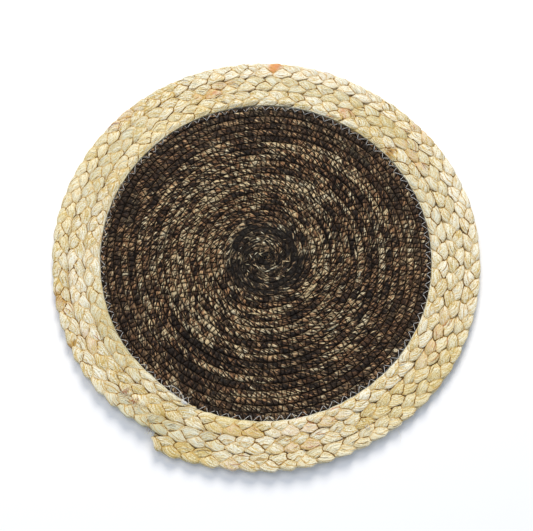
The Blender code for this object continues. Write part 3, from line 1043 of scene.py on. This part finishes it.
def leafPath(x, y, way, length, bend):
    # along the cord's top, its ends tucked in
    share = np.linspace(-1, 1, leafSize["samples"])
    turnedWay = math.radians(way) + bend * share
    reach = share * length / 2
    height = leafSize["height"] - leafSize["tucked"] * np.abs(share) ** 3
    return np.stack([x + np.cos(turnedWay) * reach, y + np.sin(turnedWay) * reach, height], axis=-1)


def leafMeshes():
    for x, y, way, length, width, light, warm in bareLeaves:
        path = leafPath(x * mm, y * mm, way, length * mm, 0.12)
        yield leafMesh(path, width * mm, light, warm)
    rng = np.random.default_rng(401)
    for _ in range(tangle["count"]):
        radius = tangle["reach"] * rng.uniform(0.02, 1) ** 0.6
        bearing = rng.uniform(0, turn)
        length, width = rng.uniform(*tangle["length"]), rng.uniform(*tangle["width"])
        x, y = radius * math.cos(math.radians(bearing)), radius * math.sin(math.radians(bearing))
        path = leafPath(x, y, bearing + 90 + rng.normal(0, 36), length, length / max(radius, 8 * mm) / 3)
        path[:, 2] += rng.uniform(-0.35, 0.15) * mm
        yield leafMesh(path, width, 0.42 * rng.uniform(0.0, 1.0) ** 2, rng.uniform(0.0, 0.6))


addPiece(joinMeshes("leaf_ends", leafMeshes()), cordMaterial, "dyed_seagrass")
blackStitch = {"thickness": 0.70 * mm, "sunk": 0.10 * mm, "plunge": 1.5 * mm, "reach": 0.95}
blackThread = makeThreadMaterial("black_polyester_thread", ("#0c0805", "#1a120c"), 0.8, 0.9 * mm, 0.05)


def blackPath(upper, samples):
    legs = int(legCount(np.array([coilLength - 6 * mm]))[0])
    leg = np.repeat(np.arange(12, legs), samples)
    progress = np.tile(np.linspace(0.0, 1.0, samples), legs - 12)
    share = np.where(leg % 2 == 0, progress, 1 - progress)
    table = np.linspace(0, coilLength, 60000)
    s = np.interp(legCrossing(leg, share), legCount(table), table)
    bearing, inner, outer = coilPlace(s)
    across = (2 * share - 1) * blackStitch["reach"]
    radius = (inner + outer) / 2 + across * (outer - inner) / 2
    half = mat["coreThickness"] / 2
    crown = np.maximum(1 - np.abs(across) ** 2.35, 0) ** 0.42
    pulled = coil["pinch"] * legDepth[leg]
    proud = (half * 0.93 - (pulled if upper else 0)) * crown
    proud = proud + blackStitch["thickness"] / 2 - blackStitch["sunk"]
    proud = proud + 0.35 * half * (1 - crown) - blackStitch["plunge"] * np.abs(across) ** 9
    height = half + proud if upper else np.maximum(half - proud, blackStitch["thickness"] / 2)
    return polar(bearing, radius, height)


for number, upper, samples, rows in ((1, True, 5, 5), (2, False, 3, 4)):
    path = blackPath(upper, samples)
    mesh = threadMesh(f"black_stitching_{number}", path, blackStitch["thickness"], rows)
    addPiece(mesh, blackThread, "dyed_seagrass")
print("coil stitched")

whiteStitch = {
    "thickness": 0.36 * mm,
    "legPitch": 4.8 * mm,
    "reach": 4.8 * mm,
    "overlap": 1.0 * mm,
    "samples": 7,
    "hiddenSide": 165,  # the bearing round which the seam is mostly pulled down between the leaves
    "start": 247,  # its first bearing, and how many degrees are left open
    "open": 3,
}
whiteThread = makeThreadMaterial("white_cotton_thread", ("#cfccc6", "#f2f0ec"), 0.65, 0.7 * mm)


def whitePath(upper):
    legs = 2 * round(math.pi * mat["coreRadius"] / whiteStitch["legPitch"])
    places = np.arange(legs * whiteStitch["samples"] + 1) / whiteStitch["samples"]
    jitter = 0.20 * heldNoise(places, 1.0, 201) + 0.16 * heldNoise(places / 3, 1.0, 202)
    slanted = 0.30 * np.where(places % 2 < 1, places % 1, 1 - places % 1)
    bearing = whiteStitch["start"] + (turn - whiteStitch["open"]) * (places + jitter + slanted) / legs
    inward = 1 - np.abs((places % 2) - 1)
    deep = whiteStitch["reach"] * (0.92 + 0.26 * heldNoise(places / 2, 1.0, 203))
    radius = coreEdge(bearing) + whiteStitch["overlap"] - inward * (deep + whiteStitch["overlap"])
    height = mat["coreThickness"] + 0.1 * mm - 1.3 * mm * (1 - inward) ** 3 - 1.6 * mm * inward**10
    buried = 0.25 + 0.6 * np.cos(np.radians(bearing - whiteStitch["hiddenSide"]))
    buried = ease(buried + 0.55 * heldNoise(places / 1.5, 1.0, 204))
    height = height - 0.55 * mm * buried
    if not upper:
        height = mat["coreThickness"] - height + 0.4 * whiteStitch["thickness"]
        height = np.maximum(height, whiteStitch["thickness"] / 2)
    return polar(bearing, radius, height)


for number, upper in ((1, True), (2, False)):
    mesh = threadMesh(f"white_seam_{number}", whitePath(upper), whiteStitch["thickness"])
    addPiece(mesh, whiteThread, "dried_husk")
print("rim sewn on")


def eased(marks, samples=4):
    # a smooth path through marks given as x, y and z in millimetres, z above the mat's own level there
    marks = np.asarray(marks, dtype=float) * mm
    padded = np.concatenate([[2 * marks[0] - marks[1]], marks, [2 * marks[-1] - marks[-2]]])
    path = []
    for k in range(1, len(padded) - 2):
        a, b, c, d = padded[k - 1 : k + 3]
        for share in np.arange(samples) / samples:
            curved = share**2 * (a - 2.5 * b + 2 * c - 0.5 * d)
            curved = curved + share**3 * (1.5 * b - 0.5 * a - 1.5 * c + 0.5 * d)
            path.append(b + 0.5 * share * (c - a) + curved)
    path = np.array(path + [padded[-2]])
    path[:, 2] += liftAt(np.degrees(np.arctan2(path[:, 1], path[:, 0])), np.hypot(path[:, 0], path[:, 1]))
    return path


looseRng = np.random.default_rng(307)
fibres = {  # fine fibres lying along the husks
    "pale": {"count": 230, "thickness": 0.42 * mm, "colour": ("#efe4c0", "#fbf6e4")},
    "golden": {"count": 120, "thickness": 0.38 * mm, "colour": ("#a9793a", "#c79a55")},
    "brown": {"count": 60, "thickness": 0.36 * mm, "colour": ("#5f3f1e", "#87602f")},
    "rusty": {"count": 46, "thickness": 0.48 * mm, "colour": ("#b8643e", "#d08a60"), "marks": "blush"},
}


def fibrePaths(count, kind=None):
    paths = []
    while len(paths) < count:
        number = int(looseRng.integers(strand["count"]))
        span = int(looseRng.integers(5, 11))
        first = int(looseRng.integers(12, strand["columns"] - 24))
        s = plaitLength * first / strand["columns"]
        phase = 2 * math.pi * (s / period + number / strand["count"])
        if math.sin(2 * phase) < -0.1 or math.sin(2 * phase + 0.9) < 0.1:
            continue
        if kind and markWeight(kind, turnedAt(s)) < 0.4:
            continue
        rows = np.linspace(looseRng.uniform(3, 15), looseRng.uniform(3, 15), span)
        rows = rows[0] + (rows - rows[0]) * 0.35
        low = np.floor(rows).astype(int)
        columns = np.arange(first, first + span)
        surface = strandSurfaces[number]["points"]
        share = (rows - low)[:, None]
        path = surface[columns, low] * (1 - share) + surface[columns, low + 1] * share
        path[:, 2] += (0.10 + 0.12 * np.sin(np.linspace(0, math.pi, span))) * mm
        paths.append(path)
    return paths


for name, row in fibres.items():
    row["material"] = makeThreadMaterial(f"{name}_husk_fibre", row["colour"], 0.7, 0.8 * mm, 0.2)
    paths = fibrePaths(row["count"], row.get("marks"))
    addPiece(joinedThreads(f"{name}_fibres", paths, row["thickness"]), row["material"], "dried_husk")

ticks = {"pitch": 4.6 * mm, "reach": 3.4 * mm, "thickness": 0.38 * mm}
tickRanges = [(132, 188), (206, 236), (250, 322)]


def tickPaths():
    # short stitches across the line between two turns of the rim
    paths = []
    for passing, (start, end) in [(k, span) for k in (1, 2) for span in tickRanges]:
        turned = turn * passing + (start - mat["seamBearing"]) % turn
        last = turned + end - start
        while turned < last:
            radius = plaitLine(turned)
            share = np.linspace(-1, 1, 5)
            lean = looseRng.uniform(0.1, 0.9) * mm
            bearing = mat["seamBearing"] + turned + np.degrees(lean * share / radius)
            reach = ticks["reach"] / 2 * looseRng.uniform(0.6, 1.1)
            height = 7.9 * mm - 0.9 * mm * np.abs(share) ** 3 + 0.2 * mm * looseRng.uniform(-1, 1)
            paths.append(polar(bearing, radius + reach * share, height))
            turned = turned + np.degrees(ticks["pitch"] * looseRng.uniform(0.8, 1.25) / radius)
    return paths


addPiece(joinedThreads("turn_stitches", tickPaths(), ticks["thickness"]), whiteThread, "dried_husk")

knot = [  # the white thread tied off where the plait ends against the disc
    [(-72.2, -128.2, 7.6), (-71.2, -130.2, 8.6), (-69.0, -131.0, 8.8), (-67.2, -133.0, 8.3),
     (-66.1, -133.4, 7.2)],
    [(-72.6, -129.4, 7.2), (-70.4, -129.6, 8.7), (-69.4, -131.8, 9.0), (-67.0, -131.8, 8.4),
     (-66.4, -134.0, 7.4)],
    [(-71.0, -128.0, 7.2), (-70.0, -131.4, 8.9), (-68.0, -130.8, 8.9), (-68.4, -133.6, 8.2)],
    [(-69.6, -129.0, 7.6), (-71.6, -130.8, 8.3), (-69.8, -132.4, 8.6), (-66.8, -132.6, 8.0)],
]
curls = [
    [(-84.4, -117.8, 6.9), (-81.0, -116.9, 7.6), (-76.7, -118.7, 8.2), (-72.3, -123.0, 8.2),
     (-70.4, -127.6, 8.6), (-68.7, -131.7, 8.6)],
    [(-86.0, -121.6, 8.4), (-82.6, -121.2, 7.8), (-79.0, -123.6, 7.8), (-75.0, -127.0, 8.6),
     (-71.0, -130.0, 8.8)],
    [(85.4, -152.3, 8.8), (86.6, -150.8, 9.9), (88.0, -152.4, 10.2), (87.0, -154.2, 9.2)],
    [(84.4, -151.4, 8.6), (85.4, -153.4, 9.8), (87.6, -153.6, 9.6), (88.8, -151.8, 8.8)],
]
hairs = [
    [(109.6, -151.6, 6.2), (112.5, -155.7, 7.0), (114.9, -160.8, 6.0), (113.9, -165.9, 3.4)],
    [(-103.0, -150.2, 5.0), (-100.3, -159.1, 3.6), (-95.4, -154.0, 5.6)],
    [(147.0, 118.0, 7.0), (151.0, 120.6, 6.4), (154.6, 120.0, 4.6)],
    [(-160.2, 96.0, 6.4), (-164.2, 98.2, 5.6), (-167.6, 96.4, 3.8)],
]
looseEnds = [
    ("white_knot", knot, 0.85 * mm, 5, whiteThread),
    ("loose_thread", curls, 0.38 * mm, 4, whiteThread),
    ("stray_hairs", hairs, 0.2 * mm, 3, fibres["pale"]["material"]),
]
for name, ends, thickness, rows, material in looseEnds:
    addPiece(joinedThreads(name, [eased(row) for row in ends], thickness, rows), material, "dried_husk")


def frayPaths(place, count, spread, height):
    # broken fibre ends standing out round a place, given in millimetres
    paths = []
    for _ in range(count):
        x, y = place[0] + looseRng.normal(0, spread / 3), place[1] + looseRng.normal(0, spread / 3)
        way, run = looseRng.uniform(0, 2 * math.pi), looseRng.uniform(0.5, 1.0) * spread
        bends = ((0, way, 0), (0.5, way, 0.8), (1, way + 0.3, looseRng.uniform(-0.6, 0.9)))
        marks = [
            (x + run * part * math.cos(to), y + run * part * math.sin(to), height + rise)
            for part, to, rise in bends
        ]
        paths.append(eased(marks, 3))
    return paths


frays = {  # the place in x and y, how many, how far they spread and their height, in millimetres
    "golden": [
        ((112.7, 102.9), 16, 4.2, 7.8), ((-97.0, -152.6), 7, 4.0, 5.5), ((-178.5, -41.0), 9, 4.0, 7.0),
    ],
    "brown": [
        ((113.4, 102.0), 7, 3.0, 8.0), ((-97.6, -153.2), 6, 4.4, 5.0), ((-175.0, -42.0), 5, 3.4, 7.2),
    ],
    "pale": [
        ((-70.0, -130.0), 10, 4.5, 8.2), ((-98.0, -158.0), 6, 3.5, 6.0), ((86.0, -152.0), 8, 2.4, 8.8),
        ((-118.0, -124.0), 20, 6.0, 9.0), ((-108.0, -134.0), 20, 6.0, 9.0),
        ((-98.0, -144.0), 18, 6.0, 8.8),
    ],
    "rusty": [((-120.0, -122.0), 16, 3.6, 9.3), ((-111.0, -131.0), 16, 3.6, 9.3)],
}
for name, rows in frays.items():
    paths = [path for row in rows for path in frayPaths(*row)]
    addPiece(joinedThreads(f"frayed_{name}", paths, 0.34 * mm), fibres[name]["material"], "dried_husk")
print("loose fibres and threads added")
